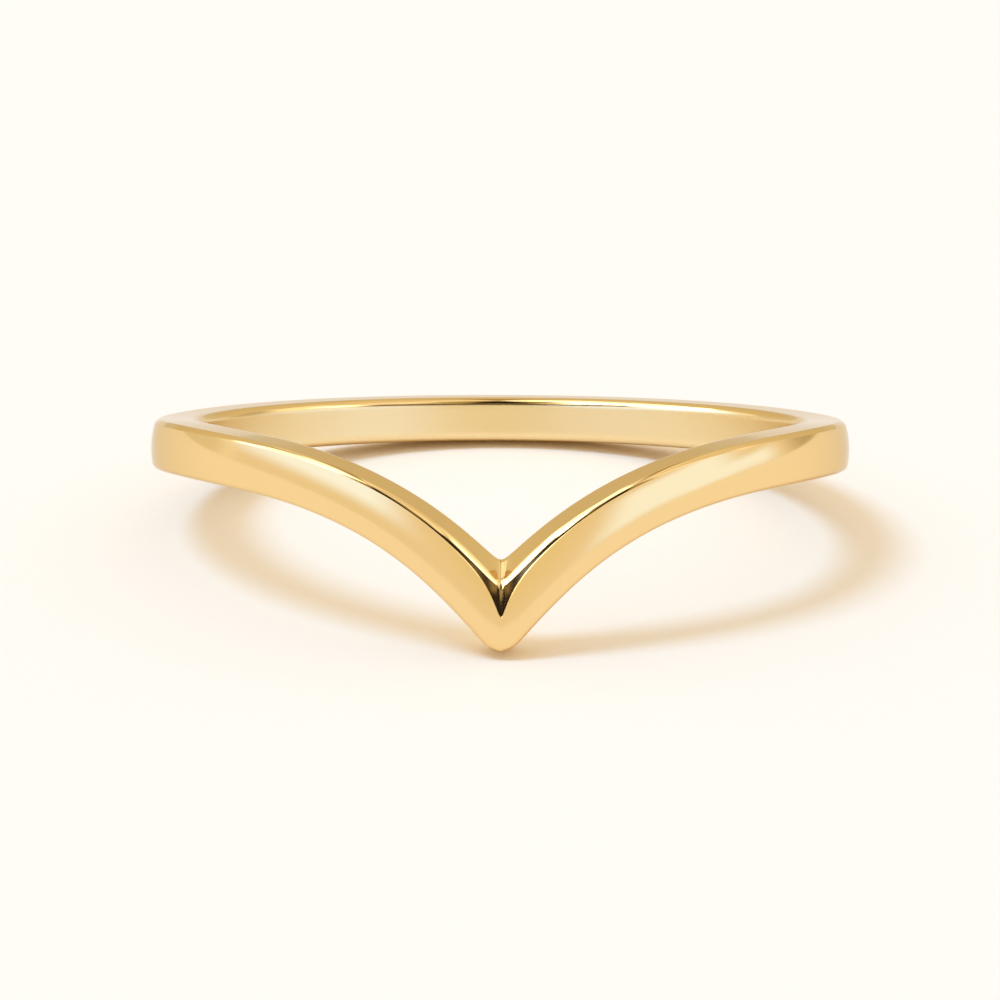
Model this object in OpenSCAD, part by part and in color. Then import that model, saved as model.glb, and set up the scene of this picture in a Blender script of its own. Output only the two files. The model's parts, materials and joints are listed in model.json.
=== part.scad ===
// Plain chevron band ring.
// One cast and polished piece: a slim band that runs level round the back of the finger, rises a
// little at the shoulders and dips to a point at the front. It lies on its side as it rests by
// itself, on the tip of the point and on the lower rim of its back, with the point toward -Y.
// The origin is at the middle of the bounding box's underside.

/* [Finger] */
// Diameter of the finger hole
finger_diameter = 17.3; // [14:0.1:22]
// Thickness of the metal round the finger
wall = 1.4; // [1.1:0.05:1.8]

/* [Band] */
// Height of the band at its sides, measured across the band
band_height = 1.44; // [1.3:0.01:2.2]
// Share of that height which the band loses at the back
back_taper = 0.075; // [0:0.005:0.2]
// How far the outer face is domed, from its middle to its edges
face_dome = 0.1; // [0.02:0.01:0.15]
// Lift of the band at its shoulders, beside the point
shoulder_rise = 0.29; // [0:0.01:0.5]

/* [Point] */
// How far the middle line of the band dips at the front
point_depth = 3.5; // [1.5:0.1:4.5]
// Length along the band from the tip to where the dip ends
point_reach = 8.7; // [7:0.1:12]
// Power of the dip: 1 is a straight V, and more bends its arms
point_curve = 2.8; // [2:0.05:3.5]
// Height of the band at the point, measured across the band
point_height = 1.57; // [1.4:0.01:2.4]
// How much fuller the underside is on both sides of the tip, which leaves the tip blunt
tip_fullness = 0.24; // [0:0.01:0.3]
// How much lower the top side is at its outer edge than at its inner edge, at the point
point_slope = 0.4; // [0:0.01:0.5]

/* [Edges] */
// Rounding of both edges that touch the finger
inner_edge = 0.27; // [0.12:0.01:0.3]
// Rounding of the lower outer edge
lower_edge = 0.2; // [0.12:0.01:0.25]
// How far the upper outer edge is rounded in from the outer face
upper_edge = 0.16; // [0.1:0.01:0.2]
// How far the upper outer edge is rounded down at the point
point_edge = 0.65; // [0.2:0.01:0.7]
// Softening of the notch above the point
notch_softness = 0.16; // [0.08:0.01:0.25]
// Softening of the tip below the point
tip_softness = 0.06; // [0.04:0.01:0.25]
// Extra radius below the shank, so that the tip doesn't press into the finger
point_ease = 0.02; // [0.01:0.005:0.04]

/* [Hidden] */

// Radii of the finger hole, of the outer face and midway between them
bore_radius = finger_diameter / 2;
outer_radius = bore_radius + wall;
middle_radius = (bore_radius + outer_radius) / 2;

// Shoulders: where they are and how far they spread, in degrees from the tip
shoulder_angle = 63;
shoulder_spread = 30;

// How far along the band the extra height, the slope and the rounding of the point fade out
height_fade = 4.7;
slope_fade = 1.8;
rounding_fade = 0.75;

// How far along the band the fullness beside the tip reaches, and the blunt end of the tip itself
fullness_fade = 2;
blunt_end = 0.22;

// The upper outer edge starts crisp, this many degrees into its rounding
crisp_start = 25;
upper_depth = 0.16;

// Edges at the finger are rounded as far as this angle and run on straight into the bore
inner_turn = 70;
bored_away = 0.1;

// Stations round half of the band, and facets along each rounding
half_stations = 52;
edge_steps = 3;
face_steps = 4;
bore_facets = 180;
bore_length = 30;
// Share of the even spacing that is left at the tip, where the stations crowd together
tip_spacing = 0.2;

// Halvings of the range in which the resting tilt is searched
tilt_halvings = 30;
steepest_tilt = 45;

// A bell curve: 1 at the middle, fading over the given reach
function bell(x, reach) = exp(-pow(x / reach, 2));

// Distance along the band from the tip
function along(angle) = middle_radius * abs(angle) * PI / 180;

// Height of the band's middle line, and how steeply it runs
function dip(s) = s < point_reach ? point_depth * pow(1 - s / point_reach, point_curve) : 0;
function steepness(s) = s < point_reach
    ? point_depth * point_curve / point_reach * pow(1 - s / point_reach, point_curve - 1)
    : 0;
function shoulder(angle) = shoulder_rise * bell(abs(angle) - shoulder_angle, shoulder_spread);

// Share of the height that the back keeps: all of it at the front half, tapering behind
function kept(angle) = abs(angle) < 90 ? 1 : 1 - back_taper * (1 - cos(2 * (abs(angle) - 90))) / 2;

// Extra depth of the underside beside the tip
function fullness(s) = tip_fullness * (bell(s, fullness_fade) - bell(s, blunt_end));

// Half of the band's height, measured across the band
function half_height(angle) =
    (band_height + (point_height - band_height) * bell(along(angle), height_fade))
    * kept(angle) / 2;

// Inward sag of the domed outer face at a height p across the band
function sag(p, half) = face_dome * pow(p / half, 2);

// Outline across the band as [radius, height across], from the bore over the top, down the outer
// face and back along the underside. The first and last points lie inside the bore.
function outline(angle, slant) =
    let (
        half = half_height(angle),
        s = along(angle),
        crisp = half - point_slope * exp(-s / slope_fade) / slant,
        down = (upper_depth + (point_edge - upper_depth) * bell(s, rounding_fade))
            / cos(crisp_start),
        in = upper_edge / (1 - sin(crisp_start)),
        face_top = crisp - down * cos(crisp_start),
        face_bottom = lower_edge - half,
        turned = half - inner_edge + inner_edge * cos(inner_turn),
        start = bore_radius + inner_edge * (1 - sin(inner_turn)),
        buried = turned - (start - bore_radius + bored_away) * tan(inner_turn)
    )
    concat(
        [[bore_radius - bored_away, buried]],
        [for (step = [edge_steps : -1 : 0])
            let (turn = inner_turn * step / edge_steps)
            [
                bore_radius + inner_edge * (1 - sin(turn)),
                half - inner_edge * (1 - cos(turn))
            ]],
        [for (step = [0 : edge_steps])
            let (
                turn = crisp_start + (90 - crisp_start) * step / edge_steps,
                p = face_top + down * cos(turn)
            )
            [
                outer_radius - sag(face_top, half) * step / edge_steps - in * (1 - sin(turn)),
                p
            ]],
        [for (step = [1 : face_steps - 1])
            let (p = face_top + (face_bottom - face_top) * step / face_steps)
            [outer_radius - sag(p, half), p]],
        [for (step = [0 : edge_steps])
            let (turn = 90 * step / edge_steps)
            [
                outer_radius - sag(face_bottom, half) - lower_edge * (1 - cos(turn)),
                face_bottom - lower_edge * sin(turn)
            ]],
        [for (step = [0 : edge_steps])
            let (turn = inner_turn * step / edge_steps)
            [
                bore_radius + inner_edge * (1 - sin(turn)),
                inner_edge * (1 - cos(turn)) - half
            ]],
        [[bore_radius - bored_away, -buried]]
    );

// The same outline as [radius, z]: its heights are stretched as the band runs steeply, the notch
// and the tip are softened, and the underside beside the tip is fuller
function section(angle) =
    let (
        slant = sqrt(1 + pow(steepness(along(angle)), 2)),
        half = half_height(angle)
    )
    [for (q = outline(angle, slant))
        let (
            share = (q[1] + half) / (2 * half),
            softness = tip_softness + (notch_softness - tip_softness) * share,
            s = sqrt(pow(along(angle), 2) + pow(softness, 2))
        )
        [
            q[0],
            q[1] * slant - dip(s) + shoulder(angle) - fullness(along(angle)) * pow(1 - share, 2)
        ]];

// Angles of the stations, from the back over one side, the tip and the other side
function station(share) = 180 * share * (tip_spacing + (1 - tip_spacing) * abs(share));
angles = [for (i = [1 - half_stations : half_stations]) station(i / half_stations)];

ring_points = [for (angle = angles)
    for (q = section(angle)) [q[0] * sin(angle), -q[0] * cos(angle), q[1]]];

// The tilt at which the tip and the back touch the same level
function touching(side, tilt, outline_rz) =
    min([for (q = outline_rz) if (q[0] > bore_radius) q[1] * cos(tilt) + side * q[0] * sin(tilt)]);
function tilt_between(low, high, halvings) =
    let (middle = (low + high) / 2)
    halvings == 0 ? middle
    : touching(1, middle, section(0)) < touching(-1, middle, section(180))
        ? tilt_between(middle, high, halvings - 1)
        : tilt_between(low, middle, halvings - 1);
rest_tilt = tilt_between(0, steepest_tilt, tilt_halvings);

// Where the tilted ring's bounding box is, to set it down round the origin
tilted_y = [for (p = ring_points) p[1] * cos(rest_tilt) + p[2] * sin(rest_tilt)];
tilted_z = [for (p = ring_points) p[2] * cos(rest_tilt) - p[1] * sin(rest_tilt)];
middle_y = (min(tilted_y) + max(tilted_y)) / 2;
lowest_z = min(tilted_z);

// The band before it is bored: the outlines of all stations, joined one to the next all round
module uncut_band() {
    stations = len(angles);
    corners = len(section(0));
    polyhedron(
        points = ring_points,
        faces = [for (i = [0 : stations - 1])
            for (j = [0 : corners - 1])
                let (
                    here = i * corners,
                    next = ((i + 1) % stations) * corners,
                    k = (j + 1) % corners
                )
                each [
                    [here + j, next + j, next + k],
                    [here + j, next + k, here + k]
                ]]
    );
}

// The finger hole: a true round bore, eased a hair below the shank where only the point reaches
module finger_hole() {
    rotate([0, 0, -90])
        cylinder(r = bore_radius, h = bore_length, center = true, $fn = bore_facets);
    rotate([0, 0, 90])
        translate([0, 0, -bore_length - band_height / 2])
            cylinder(r = bore_radius + point_ease, h = bore_length, $fn = bore_facets);
}

module band() {
    color([0.93, 0.74, 0.42])
        translate([0, -middle_y, -lowest_z])
            rotate([-rest_tilt, 0, 0])
                difference() {
                    uncut_band();
                    finger_hole();
                }
}

band();
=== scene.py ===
import json
import math

import bpy
from mathutils import Matrix, Vector


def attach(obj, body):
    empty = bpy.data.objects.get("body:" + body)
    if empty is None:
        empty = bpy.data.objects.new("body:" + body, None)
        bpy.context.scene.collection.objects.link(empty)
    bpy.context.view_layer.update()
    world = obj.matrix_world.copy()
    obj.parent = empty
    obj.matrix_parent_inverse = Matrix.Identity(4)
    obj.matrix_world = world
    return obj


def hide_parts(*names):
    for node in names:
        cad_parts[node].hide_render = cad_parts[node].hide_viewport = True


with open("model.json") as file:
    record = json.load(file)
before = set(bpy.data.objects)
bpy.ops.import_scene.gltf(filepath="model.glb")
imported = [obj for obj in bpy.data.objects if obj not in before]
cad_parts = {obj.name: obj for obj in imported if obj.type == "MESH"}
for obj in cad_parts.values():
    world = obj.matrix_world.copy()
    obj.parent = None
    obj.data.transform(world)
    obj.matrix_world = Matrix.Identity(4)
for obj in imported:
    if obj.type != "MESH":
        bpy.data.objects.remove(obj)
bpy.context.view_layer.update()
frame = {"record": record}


# Camera: it looks at the point of the chevron from the front, from a little above the surface
# that the ring lies on, through a long lens.

MM = 0.001
finger_bore = next(m for m in frame["record"]["mounts"] if m["name"] == "finger_bore")
hole_centre = Vector(finger_bore["pos_m"])
hole_axis = Vector(finger_bore["axis"]).normalized()
ring_lean = math.atan2(hole_axis.y, hole_axis.z)

CAMERA_DISTANCE = 150 * MM
CAMERA_ABOVE_RING_PLANE = math.radians(5.64)
CAMERA_ROLL = math.radians(0.22)
CAMERA_TO_THE_LEFT = math.radians(0.2)
CAMERA_SEES_FROM = 10 * MM
LENS_MM = 187.4
PICTURE_SIDE = 1000
# The middle of the finger hole shows halfway across the picture, this many pixels from its top
HOLE_PIXEL_Y = 448.1

camera_height_angle = CAMERA_ABOVE_RING_PLANE + ring_lean
towards_camera = Vector((0, -math.cos(camera_height_angle), math.sin(camera_height_angle)))
towards_camera.rotate(Matrix.Rotation(-CAMERA_TO_THE_LEFT, 3, "Z"))
camera_data = bpy.data.cameras.new("camera")
camera_data.lens = LENS_MM
camera_data.clip_start = CAMERA_SEES_FROM
camera = bpy.data.objects.new("camera", camera_data)
bpy.context.scene.collection.objects.link(camera)
bpy.context.scene.camera = camera

pixels_per_radian = LENS_MM / camera_data.sensor_width * PICTURE_SIDE
turn_down = (PICTURE_SIDE / 2 - HOLE_PIXEL_Y) / pixels_per_radian
facing_ring = (-towards_camera).to_track_quat("-Z", "Y").to_matrix()
aim = Matrix.Rotation(-turn_down, 3, "X")
roll = Matrix.Rotation(CAMERA_ROLL, 3, "Z")
camera.matrix_world = (
    Matrix.Translation(hole_centre + towards_camera * CAMERA_DISTANCE)
    @ (facing_ring @ aim @ roll).to_4x4()
)


# Band: the ring is one casting in yellow gold, filed to a point at the front and polished all
# over. It starts as a plain round ring, and every point of it is then drawn onto the band's own
# cross-section at its place round the finger.

# Radii of the finger hole, of the outer face and midway between them
BORE_RADIUS = finger_bore["dims"]["r_mm"] * MM
WALL = 1.39 * MM
OUTER_RADIUS = BORE_RADIUS + WALL
MIDDLE_RADIUS = BORE_RADIUS + WALL / 2

# Height of the band at its sides and at its point, measured across it, how far along the band the
# point's extra height reaches, and the share of its height that the band loses at the back
BAND_HEIGHT = 1.43 * MM
POINT_HEIGHT = 1.56 * MM
POINT_HEIGHT_FADE = 4.7 * MM
BACK_TAPER = 0.075

# How the band dips to its point, along arms that bend, and rises a little at its shoulders
POINT_DEPTH = 3.5 * MM
POINT_REACH = 8.7 * MM
POINT_CURVE = 2.8
SHOULDER_RISE = 0.29 * MM
SHOULDER_ANGLE = math.radians(63)
SHOULDER_SPREAD = math.radians(30)

# The outer face is domed, most of all towards its top
FACE_DOME = 0.1 * MM
DOME_DROP = 0.135 * MM

# The top side slopes outward at the point and ends in a crisp line, and below that line the face
# is rounded over between two angles from upright
TOP_SLOPE = 0.4 * MM
TOP_SLOPE_FADE = 1.8 * MM
ROUNDING = 0.12 * MM
ROUNDING_AT_POINT = 0.13 * MM
ROUNDING_FADE = 1.6 * MM
ROUNDING_TOP_ANGLE = math.radians(65)
ROUNDING_END_ANGLE = math.radians(25)
ROUNDING_END_AT_SIDES = math.radians(38)
ROUNDING_END_FADE = 3.2 * MM

# Under the rounding a file has cut a thin line along both arms, which widens to a small
# three-cornered hollow where they meet
HOLLOW_LINE = 0.11 * MM
HOLLOW_LINE_FADE = 2 * MM
HOLLOW_CORNER = 0.78 * MM
HOLLOW_CORNER_FADE = 0.23 * MM
HOLLOW_SLOPE = 0.33
HOLLOW_SLOPE_GAIN = 0.15 / MM
HOLLOW_REACH = 0.78 * MM
HOLLOW_REACH_FADE = 1.3 * MM

# Radii of the edges that touch the finger and of the lower outer edge
INNER_EDGE = 0.27 * MM
LOWER_EDGE = 0.2 * MM

# How far the notch is softened, at the finger hole and at the face, and how far the tip is
NOTCH_SOFTNESS = 0.16 * MM
CREASE_SOFTNESS = 0.05 * MM
TIP_SOFTNESS = 0.08 * MM

# The underside is fuller on both sides of the tip, which leaves the tip blunt
TIP_FULLNESS = 0.24 * MM
TIP_FULLNESS_FADE = 2 * MM
BLUNT_END = 0.26 * MM

# How many stations there are round the finger, and how many points each stretch of the
# cross-section has at each of them
STATIONS = 256
BORE_POINTS = 8
INNER_EDGE_POINTS = 8
TOP_POINTS = 6
ROUNDING_POINTS = 10
HOLLOW_POINTS = 8
FACE_POINTS = 26
LOWER_EDGE_POINTS = 9
UNDERSIDE_POINTS = 5

# How close to a crisp corner the nearest points lie, as a share of their stretch
CORNER_GAP = 0.01
HOLLOW_GAP = 0.02
HOLLOW_FOOT_GAP = 0.005
FACE_GAP = 0.002

# Share of the even spacing that is left at the tip, where the stations crowd together
TIP_SPACING = 0.12

# The solid's round forms are made of flats, so the smooth band sits a hair back and up from it
KEEP_INSIDE = Vector((0, 0.02 * MM, 0.005 * MM))


def bell(distance, reach):
    """1 at no distance, fading over the given reach."""
    return math.exp(-((distance / reach) ** 2))


def dip(along):
    """How far the band's middle line dips at a distance along the band from the tip."""
    left = max(0.0, 1 - along / POINT_REACH)
    return POINT_DEPTH * left**POINT_CURVE


def steepness(along):
    """How steeply the middle line runs down towards the tip there."""
    left = max(0.0, 1 - along / POINT_REACH)
    return POINT_DEPTH * POINT_CURVE / POINT_REACH * left ** (POINT_CURVE - 1)


def shoulder(angle):
    """How far the band rises at an angle from the tip."""
    return SHOULDER_RISE * bell(abs(angle) - SHOULDER_ANGLE, SHOULDER_SPREAD)


def half_height(angle, along):
    """Half of the band's height, measured across it."""
    behind = max(0.0, abs(angle) - math.pi / 2)
    kept = 1 - BACK_TAPER * (1 - math.cos(2 * behind)) / 2
    height = BAND_HEIGHT + (POINT_HEIGHT - BAND_HEIGHT) * bell(along, POINT_HEIGHT_FADE)
    return height * kept / 2


def steps(count):
    """Where the equal parts of a stretch start, as shares of it."""
    return [i / count for i in range(count)]


def middles(count):
    """Where the middles of the equal parts of a stretch are, as shares of it."""
    return [(i + 0.5) / count for i in range(count)]


def quarter_turn(share):
    """How far a rounded edge has gone ahead and how far aside, for a radius of 1."""
    turn = math.pi / 2 * share
    return math.sin(turn), 1 - math.cos(turn)


def cross_section(angle):
    """The band's outline at an angle from the tip: its stretches, from the bore over the top and
    down the outer face, each with a name and (radius, height across the band) pairs."""
    along = MIDDLE_RADIUS * abs(angle)
    half = half_height(angle, along)
    slant = math.sqrt(1 + steepness(along) ** 2)
    near = math.hypot(along, CREASE_SOFTNESS)
    crisp_line = half - TOP_SLOPE * math.exp(-near / TOP_SLOPE_FADE) / slant
    rounding = ROUNDING + ROUNDING_AT_POINT * bell(near, ROUNDING_FADE)
    hollow = HOLLOW_LINE * bell(near, HOLLOW_LINE_FADE)
    hollow += HOLLOW_CORNER * math.exp(-near / HOLLOW_CORNER_FADE)
    hollow_reach = max(hollow, HOLLOW_REACH * bell(near, HOLLOW_REACH_FADE))
    hollow_top = crisp_line - rounding / slant
    face_top = hollow_top - hollow / slant
    face_bottom = LOWER_EDGE - half

    def face(height):
        """The radius of the domed outer face at a height across the band."""
        return OUTER_RADIUS - FACE_DOME * ((height + DOME_DROP) / half) ** 2

    def cut(share):
        """The radius of the filed cut, from its top at 0 to its foot at 1."""
        above_reach = hollow_reach - hollow * share
        depth = HOLLOW_SLOPE * above_reach + HOLLOW_SLOPE_GAIN * above_reach**2 / 2
        return face(face_top) - depth

    beside = 1 - bell(along, ROUNDING_END_FADE)
    end_angle = ROUNDING_END_ANGLE + (ROUNDING_END_AT_SIDES - ROUNDING_END_ANGLE) * beside
    turn_radius = rounding / (math.sin(ROUNDING_TOP_ANGLE) - math.sin(end_angle))

    def rounded(share):
        """A point of the rounding, from the crisp line at 0 to the top of the cut at 1."""
        turn = ROUNDING_TOP_ANGLE + (end_angle - ROUNDING_TOP_ANGLE) * share
        down = turn_radius * (math.sin(ROUNDING_TOP_ANGLE) - math.sin(turn))
        inward = turn_radius * (math.cos(end_angle) - math.cos(turn))
        return cut(0) - inward, crisp_line - down / slant

    bore_half = half - INNER_EDGE
    top_start = BORE_RADIUS + INNER_EDGE
    top_end = rounded(0)[0]
    hollow_steps = [0, HOLLOW_GAP] + middles(HOLLOW_POINTS) + [1 - HOLLOW_GAP, 1 - HOLLOW_FOOT_GAP]
    face_steps = [0, FACE_GAP] + middles(FACE_POINTS)
    face_heights = [face_top + (face_bottom - face_top) * t for t in face_steps]
    under_start = face(face_bottom) - LOWER_EDGE
    return {
        "bore": [(BORE_RADIUS, bore_half * (2 * t - 1)) for t in steps(BORE_POINTS)],
        "upper inner edge": [
            (BORE_RADIUS + INNER_EDGE * aside, bore_half + INNER_EDGE * ahead)
            for ahead, aside in map(quarter_turn, steps(INNER_EDGE_POINTS))
        ],
        "top": [
            (top_start + (top_end - top_start) * t, half + (crisp_line - half) * t)
            for t in steps(TOP_POINTS) + [1 - CORNER_GAP]
        ],
        "rounding": [rounded(t) for t in steps(ROUNDING_POINTS) + [1 - CORNER_GAP]],
        "hollow": [(cut(t), hollow_top + (face_top - hollow_top) * t) for t in hollow_steps],
        "face": [(face(height), height) for height in face_heights],
        "lower edge": [
            (face(face_bottom) - LOWER_EDGE * aside, face_bottom - LOWER_EDGE * ahead)
            for ahead, aside in map(quarter_turn, steps(LOWER_EDGE_POINTS))
        ],
        "underside": [
            (under_start + (top_start - under_start) * t, -half) for t in steps(UNDERSIDE_POINTS)
        ],
        "lower inner edge": [
            (BORE_RADIUS + INNER_EDGE * (1 - ahead), INNER_EDGE * aside - half)
            for ahead, aside in map(quarter_turn, steps(INNER_EDGE_POINTS))
        ],
    }


def band_point(angle, radius, height):
    """The place in the row frame of one point of the cross-section at that angle from the tip."""
    along = MIDDLE_RADIUS * abs(angle)
    half = half_height(angle, along)
    slant = math.sqrt(1 + steepness(along) ** 2)
    share_up = (height + half) / (2 * half)
    share_out = (radius - BORE_RADIUS) / WALL
    top_softness = NOTCH_SOFTNESS + (CREASE_SOFTNESS - NOTCH_SOFTNESS) * share_out
    softness = TIP_SOFTNESS + (top_softness - TIP_SOFTNESS) * share_up
    lift = height * slant - dip(math.hypot(along, softness)) + shoulder(angle)
    fullness = TIP_FULLNESS * (bell(along, TIP_FULLNESS_FADE) - bell(along, BLUNT_END))
    lift -= fullness * (1 - share_up) ** 2
    flat = Vector((radius * math.sin(angle), -radius * math.cos(angle), lift))
    return hole_centre + KEEP_INSIDE + Matrix.Rotation(-ring_lean, 3, "X") @ flat


def station_angle(station):
    """The angle from the tip: negative on the one side of it and positive on the other."""
    share = 2 * station / STATIONS - 1
    return math.pi * share * (TIP_SPACING + (1 - TIP_SPACING) * abs(share))


# Each corner of the cross-section with the name of its stretch and its number in that stretch
corner_names = [
    (name, number) for name, points in cross_section(0).items() for number in range(len(points))
]
corners = len(corner_names)
bpy.ops.object.select_all(action="DESELECT")
bpy.ops.mesh.primitive_torus_add(
    major_segments=STATIONS,
    minor_segments=corners,
    major_radius=MIDDLE_RADIUS,
    minor_radius=WALL / 2,
)
band = bpy.context.object
band.name = "polished_band"
distance_round = []
for station in range(STATIONS):
    angle = station_angle(station)
    points = [point for stretch in cross_section(angle).values() for point in stretch]
    travelled = [0.0]
    for corner, (radius, height) in enumerate(points):
        vertex = band.data.vertices[station * corners + corner]
        vertex.co = band_point(angle, radius, height)
        travelled.append(travelled[-1] + math.dist(points[corner], points[(corner + 1) % corners]))
    distance_round.append(travelled)

# The band's own map: millimetres along the band from the tip, and round its cross-section
for loop in band.data.uv_layers.active.data:
    station = round(loop.uv.x * STATIONS)
    corner = round(loop.uv.y * corners)
    loop.uv = (
        MIDDLE_RADIUS * station_angle(station) / MM,
        distance_round[station % STATIONS][corner] / MM,
    )

# The finger has worn the bore and both of its edges. At the upper one the wear fades out over
# this many points, and at the lower one over all of them.
WORN_UPPER_POINTS = 3


def worn_share(stretch, number):
    """How worn one point of the cross-section is, from its stretch and its number there."""
    if stretch == "upper inner edge":
        return max(0.0, 1 - number / WORN_UPPER_POINTS)
    if stretch == "lower inner edge":
        return number / INNER_EDGE_POINTS
    return float(stretch == "bore")


on_edge = band.data.attributes.new("on_edge", "FLOAT", "POINT")
in_bore = band.data.attributes.new("in_bore", "FLOAT", "POINT")
for vertex in band.data.vertices:
    stretch, number = corner_names[vertex.index % corners]
    on_edge.data[vertex.index].value = float("edge" in stretch or stretch == "rounding")
    in_bore.data[vertex.index].value = worn_share(stretch, number)

bpy.ops.object.mode_set(mode="EDIT")
bpy.ops.mesh.select_all(action="SELECT")
bpy.ops.mesh.normals_make_consistent(inside=False)
bpy.ops.object.mode_set(mode="OBJECT")
bpy.ops.object.shade_smooth()


def add_node(tree, kind, inputs=None, **settings):
    """A new node with its settings, and its inputs set to numbers or joined to other sockets."""
    node = tree.nodes.new(kind)
    for name, value in settings.items():
        setattr(node, name, value)
    for name, value in (inputs or {}).items():
        if isinstance(value, bpy.types.NodeSocket):
            tree.links.new(value, node.inputs[name])
        else:
            node.inputs[name].default_value = value
    return node


def calculate(tree, operation, *values):
    inputs = dict(enumerate(values))
    return add_node(tree, "ShaderNodeMath", inputs, operation=operation).outputs[0]


def mix_colours(tree, share, first, second):
    """The Mix node names its sockets alike for numbers and colours, so they go by number here."""
    node = add_node(tree, "ShaderNodeMix", {0: share, 6: first, 7: second}, data_type="RGBA")
    return node.outputs[2]


def noise(tree, place, scale, detail, roughness):
    inputs = {"Vector": place, "Scale": scale, "Detail": detail, "Roughness": roughness}
    return add_node(tree, "ShaderNodeTexNoise", inputs).outputs["Fac"]


# Yellow gold: nearly a mirror, with the finest lines of the polishing mop along the band, a faint
# grain, a smoother shine where the edges are rubbed, and a duller bore that the finger has worn
GOLD = (0.913, 0.66, 0.32, 1)
BORE_GOLD = (0.91, 0.73, 0.42, 1)
GOLD_AT_GLANCE = (0.8, 0.75, 0.66, 1)
# Roughness of the polish, and how much of it haze and wear add and rubbed edges take away
MIRROR_ROUGHNESS = 0.05
HAZE = 0.05
EDGE_SHINE = 0.02
BORE_WEAR = 0.25
# How many mop lines there are to the millimetre, along the band and across it
MOP_LINES_PER_MM = (0.35, 28, 1)
MOP_LINE_DEPTH = 0.00012 * MM
GRAIN_DEPTH = 0.00015 * MM
GRAIN_SIZE = 0.06 * MM
# Faint clouds in the polish, which change its haze and its shade
CLOUD_SIZE = 2.5 * MM
CLOUD_SHADE = 0.04

gold = bpy.data.materials.new("yellow_gold")
gold.use_nodes = True
tree = gold.node_tree
gold_shader = tree.nodes["Principled BSDF"]
gold_shader.inputs["Metallic"].default_value = 1
gold_shader.inputs["Specular Tint"].default_value = GOLD_AT_GLANCE

band_map = add_node(tree, "ShaderNodeUVMap", uv_map=band.data.uv_layers.active.name)
place = add_node(tree, "ShaderNodeTexCoord").outputs["Object"]
edge = add_node(tree, "ShaderNodeAttribute", attribute_name="on_edge").outputs["Fac"]
bore = add_node(tree, "ShaderNodeAttribute", attribute_name="in_bore").outputs["Fac"]

along_band = add_node(
    tree, "ShaderNodeMapping", {"Vector": band_map.outputs["UV"], "Scale": MOP_LINES_PER_MM}
).outputs["Vector"]
mop_lines = noise(tree, along_band, scale=1, detail=3, roughness=0.6)
grain = noise(tree, place, scale=1 / GRAIN_SIZE, detail=2, roughness=0.5)
clouds = noise(tree, place, scale=1 / CLOUD_SIZE, detail=3, roughness=0.55)

haze = calculate(tree, "MULTIPLY", clouds, HAZE)
haze = calculate(tree, "MULTIPLY_ADD", mop_lines, HAZE, haze)
worn = calculate(tree, "MULTIPLY_ADD", bore, BORE_WEAR, haze)
shine = calculate(tree, "MULTIPLY_ADD", edge, -EDGE_SHINE, worn)
roughness = calculate(tree, "ADD", shine, MIRROR_ROUGHNESS)
tree.links.new(roughness, gold_shader.inputs["Roughness"])

shade = calculate(tree, "MULTIPLY_ADD", clouds, CLOUD_SHADE, 1 - CLOUD_SHADE / 2)
colour = mix_colours(tree, bore, GOLD, BORE_GOLD)
colour = add_node(tree, "ShaderNodeHueSaturation", {"Color": colour, "Value": shade})
tree.links.new(colour.outputs["Color"], gold_shader.inputs["Base Color"])

height = calculate(tree, "MULTIPLY", grain, GRAIN_DEPTH / MOP_LINE_DEPTH)
height = calculate(tree, "ADD", height, mop_lines)
relief = add_node(tree, "ShaderNodeBump", {"Height": height, "Distance": MOP_LINE_DEPTH})
tree.links.new(relief.outputs["Normal"], gold_shader.inputs["Normal"])
band.data.materials.clear()
band.data.materials.append(gold)

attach(band, "root")
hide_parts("band")


# Floor: the pale matt sheet of studio paper that the ring lies on. It lies flat, its edges are
# out of the camera's sight, and its fibres make the faintest grain.

FLOOR_RADIUS = 600 * MM
FLOOR_SIDES = 96
PAPER = (0.95, 0.93, 0.88, 1)
PAPER_ROUGHNESS = 0.9
PAPER_GLOSS = 0.1
PAPER_SHADE = 0.02
FIBRE_SIZE = MM / 3
FIBRE_DEPTH = 0.01 * MM

bpy.ops.object.select_all(action="DESELECT")
bpy.ops.mesh.primitive_circle_add(vertices=FLOOR_SIDES, radius=FLOOR_RADIUS, fill_type="NGON")
floor = bpy.context.object
floor.name = "floor"
paper = bpy.data.materials.new("pale_paper")
paper.use_nodes = True
tree = paper.node_tree
paper_shader = tree.nodes["Principled BSDF"]
paper_shader.inputs["Roughness"].default_value = PAPER_ROUGHNESS
paper_shader.inputs["Specular IOR Level"].default_value = PAPER_GLOSS
place = add_node(tree, "ShaderNodeTexCoord").outputs["Object"]
fibres = noise(tree, place, scale=1 / FIBRE_SIZE, detail=4, roughness=0.6)
shade = calculate(tree, "MULTIPLY_ADD", fibres, PAPER_SHADE, 1 - PAPER_SHADE / 2)
colour = add_node(tree, "ShaderNodeHueSaturation", {"Color": PAPER, "Value": shade})
tree.links.new(colour.outputs["Color"], paper_shader.inputs["Base Color"])
relief = add_node(tree, "ShaderNodeBump", {"Height": fibres, "Distance": FIBRE_DEPTH})
tree.links.new(relief.outputs["Normal"], paper_shader.inputs["Normal"])
floor.data.materials.append(paper)


# Studio: soft light from all round, which the gold mirrors. The walls and cards are painted on the
# surroundings, the later ones over the earlier ones: warm walls, a large softbox on the left, a
# strip light on the right, tan boards behind, and black cards in front round the camera.

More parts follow.
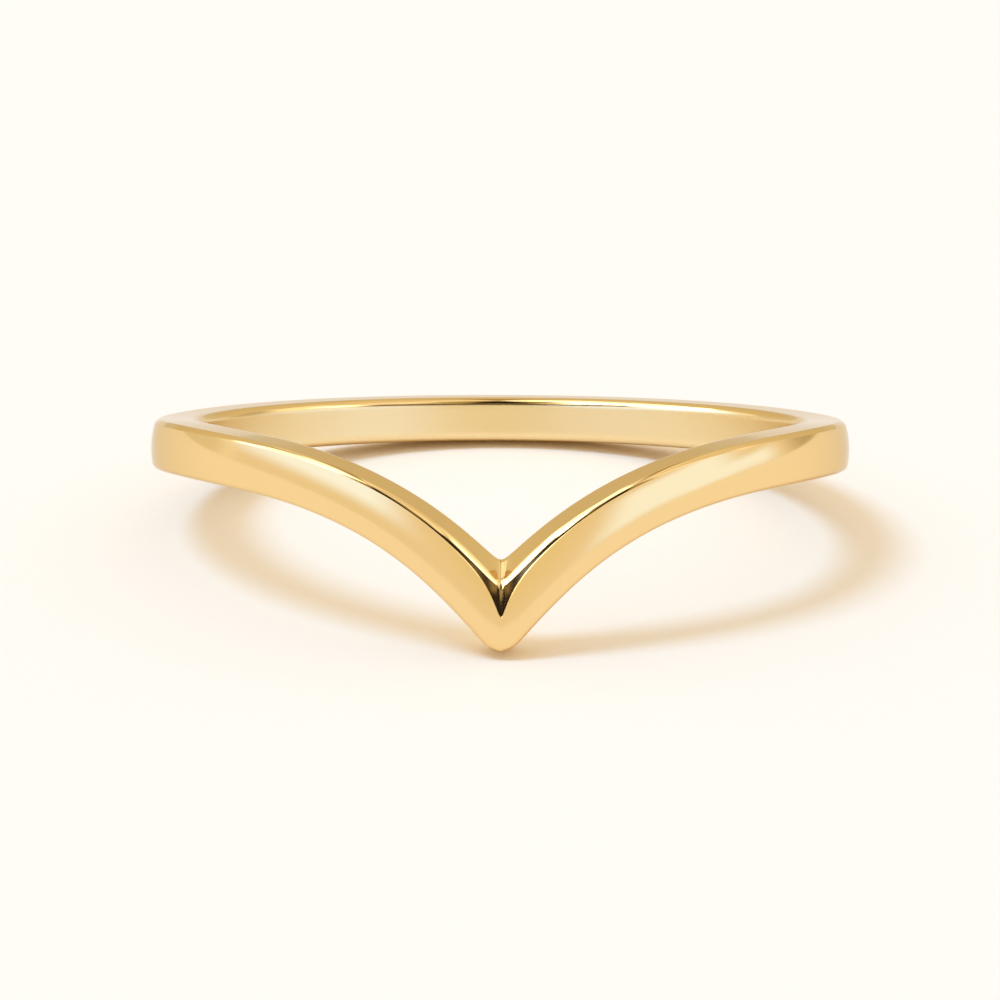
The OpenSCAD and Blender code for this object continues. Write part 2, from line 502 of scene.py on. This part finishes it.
STUDIO_CARDS = [
    # name, left and right side in degrees round from the front, bottom and top in degrees above
    # the floor, softness in degrees of the sides, of the bottom and of the top, colour
    ("wall", -180, 180, -1, 60, 1, 2, 10, (0.92, 0.85, 0.72)),
    ("front wall", -8, 16, 8, 26, 18, 12, 6, (0.90, 0.82, 0.60)),
    # On the right
    ("upper right", 15, 150, 30, 120, 40, 10, 10, (0.88, 0.76, 0.56)),
    ("upper right light", 40, 104, 50, 82, 12, 6, 8, (1.1, 1.04, 0.86)),
    ("upper back light", 144, 168, 50, 82, 10, 6, 8, (1.1, 1.04, 0.86)),
    ("cream board", 90, 121, 17, 46, 8, 5, 8, (1.3, 1.22, 0.95)),
    ("small light", 72, 98, 31, 46, 5, 4, 5, (2.2, 2.2, 2.2)),
    ("strip light", 31, 82, 0, 25, 20, 10, 6, (1.08, 1.27, 1.68)),
    ("strip end", 60, 101, 0, 11, 14, 10, 6, (1.08, 1.27, 1.68)),
    # On the left
    ("softbox glow", -120, -27, 13, 60, 26, 16, 8, (1.08, 1.35, 2.0)),
    ("softbox", -126, -20, 34, 120, 12, 12, 24, (3.4, 3.4, 3.4)),
    ("softbox foot", -135, -78, 24, 40, 5, 4, 6, (3.4, 3.4, 3.4)),
    # High behind
    ("back board", 148, 212, 30, 66, 16, 10, 8, (0.78, 0.69, 0.48)),
    ("overhead back", 168, 188, 48, 120, 10, 5, 4, (0.50, 0.38, 0.18)),
    ("softbox back", -153, -98, 46, 120, 10, 5, 4, (2.2, 2.2, 2.0)),
    # Behind on the left
    ("left wall", -145, -98, -1, 12, 10, 4, 6, (1.02, 0.99, 0.88)),
    ("far left wall", -152, -118, 11, 35, 8, 4, 4, (1.15, 1.1, 0.95)),
    ("left board", -152, -133, 36, 62, 8, 4, 8, (0.61, 0.56, 0.49)),
    # Low behind
    ("right board", 112, 140, -3, 24, 16, 6, 8, (0.60, 0.52, 0.38)),
    ("tan board", 131, 256, -3, 10, 16, 4, 6, (0.84, 0.78, 0.62)),
    ("pale board", 130, 230, 7, 44, 12, 6, 12, (0.78, 0.69, 0.48)),
    # Over and round the camera
    ("overhead board", -46, 52, 54, 120, 14, 8, 4, (0.50, 0.38, 0.18)),
    ("zenith board", -72, 60, 69, 120, 10, 5, 4, (0.45, 0.35, 0.17)),
    ("black card", -70, 67, 33, 49, 5, 2, 3, (0.015, 0.012, 0.01)),
    ("right brown card", 49, 62, 37.6, 48, 4, 1.4, 4, (0.30, 0.23, 0.11)),
    ("left brown card", -60, -47, 38.4, 48, 4, 1.4, 4, (0.24, 0.18, 0.08)),
    ("middle brown card", -30, 30, 48, 54, 5, 2, 3, (0.46, 0.36, 0.17)),
    ("camera", -21, 21, 52, 87, 4, 3, 4, (0.015, 0.012, 0.01)),
]
# What the gold mirrors between the cards, and what the camera sees beyond the floor
HAZE_COLOUR = (1.02, 1.0, 1.0, 1)
BACKDROP_COLOUR = (1, 0.98, 0.93, 1)
# The dome of light over the floor fades in between two heights, in degrees above the floor
FILL_COLOUR = (0.97, 0.83, 0.66, 1)
FILL_STARTS = -10
FILL_IN_FULL = 30
UNLIT = (0, 0, 0, 1)
# What the gold throws onto the floor, as a warm glow round the ring
GLOW_COLOUR = (2.1, 1.8, 1.2, 1)


def card_mask():
    """A group that is 1 inside one card of the surroundings and fades to 0 over its soft edges."""
    group = bpy.data.node_groups.new("card_mask", "ShaderNodeTree")
    place_inputs = ("Round", "Up", "Centre", "Half", "Bottom", "Top")
    softness_inputs = ("Side soft", "Bottom soft", "Top soft")
    for name in place_inputs + softness_inputs:
        group.interface.new_socket(name, in_out="INPUT", socket_type="NodeSocketFloat")
    group.interface.new_socket("Mask", in_out="OUTPUT", socket_type="NodeSocketFloat")
    given = group.nodes.new("NodeGroupInput").outputs

    def past(value, edge, softness):
        """0 before the edge and 1 past it, with a soft step from the one to the other."""
        reach = calculate(group, "DIVIDE", softness, 2)
        ends = {
            "Value": value,
            "From Min": calculate(group, "SUBTRACT", edge, reach),
            "From Max": calculate(group, "ADD", edge, reach),
        }
        node = add_node(group, "ShaderNodeMapRange", ends, interpolation_type="SMOOTHSTEP")
        return node.outputs["Result"]

    aside = calculate(group, "SUBTRACT", given["Round"], given["Centre"])
    aside = calculate(group, "ABSOLUTE", calculate(group, "WRAP", aside, 180, -180))
    beside = past(aside, given["Half"], given["Side soft"])
    above = past(given["Up"], given["Top"], given["Top soft"])
    mask = past(given["Up"], given["Bottom"], given["Bottom soft"])
    for outside in (beside, above):
        mask = calculate(group, "MULTIPLY", mask, calculate(group, "SUBTRACT", 1, outside))
    add_node(group, "NodeGroupOutput", {"Mask": mask})
    return group


world = bpy.data.worlds.new("studio")
world.use_nodes = True
tree = world.node_tree
place = add_node(tree, "ShaderNodeTexCoord").outputs["Generated"]
direction = add_node(tree, "ShaderNodeSeparateXYZ", {"Vector": place}).outputs
towards_front = calculate(tree, "MULTIPLY", direction["Y"], -1)
round_angle = calculate(tree, "ARCTAN2", direction["X"], towards_front)
round_degrees = calculate(tree, "DEGREES", round_angle)
up_degrees = calculate(tree, "DEGREES", calculate(tree, "ARCSINE", direction["Z"]))
mask_group = card_mask()
mirrored = HAZE_COLOUR
for name, left, right, bottom, top, side_soft, bottom_soft, top_soft, card in STUDIO_CARDS:
    placing = {
        "Round": round_degrees,
        "Up": up_degrees,
        "Centre": (left + right) / 2,
        "Half": (right - left) / 2,
        "Bottom": bottom,
        "Top": top,
        "Side soft": side_soft,
        "Bottom soft": bottom_soft,
        "Top soft": top_soft,
    }
    mask = add_node(tree, "ShaderNodeGroup", placing, node_tree=mask_group, label=name)
    mirrored = mix_colours(tree, mask.outputs["Mask"], mirrored, (*card, 1))

ray = add_node(tree, "ShaderNodeLightPath").outputs
from_above = add_node(
    tree,
    "ShaderNodeMapRange",
    {"Value": up_degrees, "From Min": FILL_STARTS, "From Max": FILL_IN_FULL},
    interpolation_type="SMOOTHSTEP",
).outputs["Result"]
fill = mix_colours(tree, from_above, UNLIT, FILL_COLOUR)
fill = mix_colours(tree, ray["Is Glossy Ray"], fill, GLOW_COLOUR)
plain = mix_colours(tree, ray["Is Camera Ray"], fill, BACKDROP_COLOUR)
# The cards show only in the gold that the camera sees, and not in what the floor gets from it
before_the_floor = calculate(tree, "LESS_THAN", ray["Diffuse Depth"], 1)
surroundings = add_node(
    tree,
    "ShaderNodeMixShader",
    {
        "Fac": calculate(tree, "MULTIPLY", ray["Is Glossy Ray"], before_the_floor),
        1: add_node(tree, "ShaderNodeBackground", {"Color": plain}).outputs["Background"],
        2: add_node(tree, "ShaderNodeBackground", {"Color": mirrored}).outputs["Background"],
    },
)
tree.links.new(surroundings.outputs["Shader"], tree.nodes["World Output"].inputs["Surface"])
bpy.context.scene.world = world
bpy.context.scene.view_settings.view_transform = "Standard"


# Key lamp: one soft lamp high on the left, a little in front of the ring, which throws the ring's
# shadow on the floor. The gold mirrors the softbox instead of it.

TOWARDS_LAMP = Vector((-0.481, -0.122, 1))
# In red, green and blue: cooler than the dome, so that the lit floor is near white, and the
# shadows, which only the dome reaches, are warm
LAMP_STRENGTH = Vector((0.55, 0.95, 1.47))
LAMP_WIDTH = math.radians(21)
lamp_data = bpy.data.lights.new("key_lamp", "SUN")
lamp_data.angle = LAMP_WIDTH
lamp_data.energy = max(LAMP_STRENGTH)
lamp_data.color = LAMP_STRENGTH / lamp_data.energy
lamp = bpy.data.objects.new("key_lamp", lamp_data)
lamp.rotation_euler = TOWARDS_LAMP.to_track_quat("Z", "Y").to_euler()
lamp.visible_glossy = False
bpy.context.scene.collection.objects.link(lamp)
